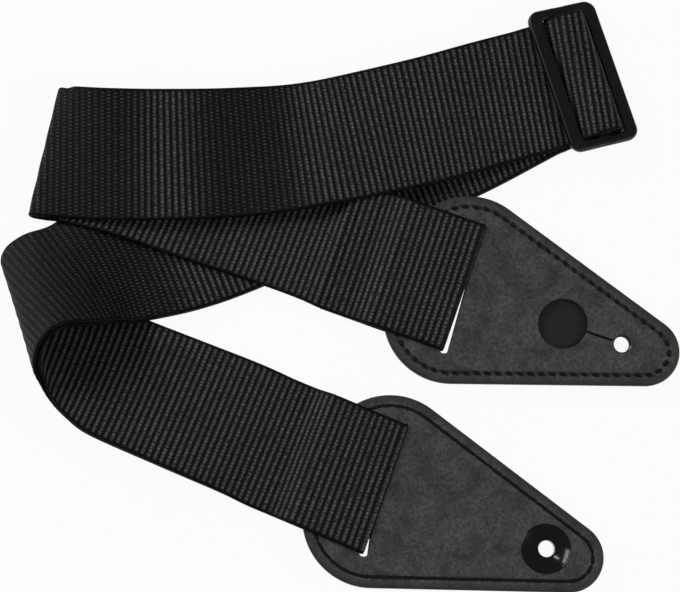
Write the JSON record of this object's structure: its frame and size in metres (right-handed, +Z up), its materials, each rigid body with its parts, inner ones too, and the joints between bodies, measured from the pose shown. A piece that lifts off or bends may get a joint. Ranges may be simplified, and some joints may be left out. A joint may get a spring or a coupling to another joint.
{
  "type": "guitar strap",
  "caption": "Webbing guitar strap with a sliding adjuster and leather ends with button keyholes and cup washers, laid in loose folds.",
  "frame": {"origin": "middle of the outline, on the surface that the strap lies on", "axes": "+Z up from that surface; +X along the length of the layout, from the left fold towards the leather ends; +Y towards the slider"},
  "size_m": [0.2545, 0.2268, 0.0326],
  "materials": {
    "webbing": "black ribbed woven webbing",
    "thread": "black bonded sewing thread",
    "leather": "dark grey finished leather, satin",
    "plastic": "black moulded plastic, satin",
    "cup_washer": "gloss black enamelled steel",
    "clinch_ring": "plain steel"
  },
  "bodies": {
    "strap": {"long_webbing": "webbing", "turned_end": "webbing", "turned_end_stitching": "thread", "slider_webbing": "webbing", "inner_webbing": "webbing", "outer_webbing": "webbing"},
    "slider": {"slider_frame": "plastic", "slider_webbing_loop": "webbing"},
    "head_end": {"head_webbing_loop": "webbing", "head_front_leather": "leather", "head_back_leather": "leather", "head_cup_washer": "cup_washer", "head_clinch_ring": "clinch_ring", "head_seam": "thread"},
    "tail_end": {"tail_webbing_loop": "webbing", "tail_front_leather": "leather", "tail_back_leather": "leather", "tail_cup_washer": "cup_washer", "tail_clinch_ring": "clinch_ring", "tail_seam": "thread"}
  },
  "joints": [
    {"name": "head_flex", "type": "hinge", "parent": "strap", "child": "head_end", "pos_m": [0.01113, 0.01118, 0.00662], "axis": [-0.323, -0.9437, -0.0717], "range_deg": [0, 110]},
    {"name": "tail_flex", "type": "hinge", "parent": "strap", "child": "tail_end", "pos_m": [-0.01872, -0.06349, 0.00335], "axis": [-0.3322, -0.9432, 0], "range_deg": [0, 110]},
    {"name": "slider_slide", "type": "slide", "parent": "strap", "child": "slider", "axis": [-0.965, -0.2622, 0], "range_m": [0, 0.036], "deforming": ["slider_webbing"]}
  ]
}
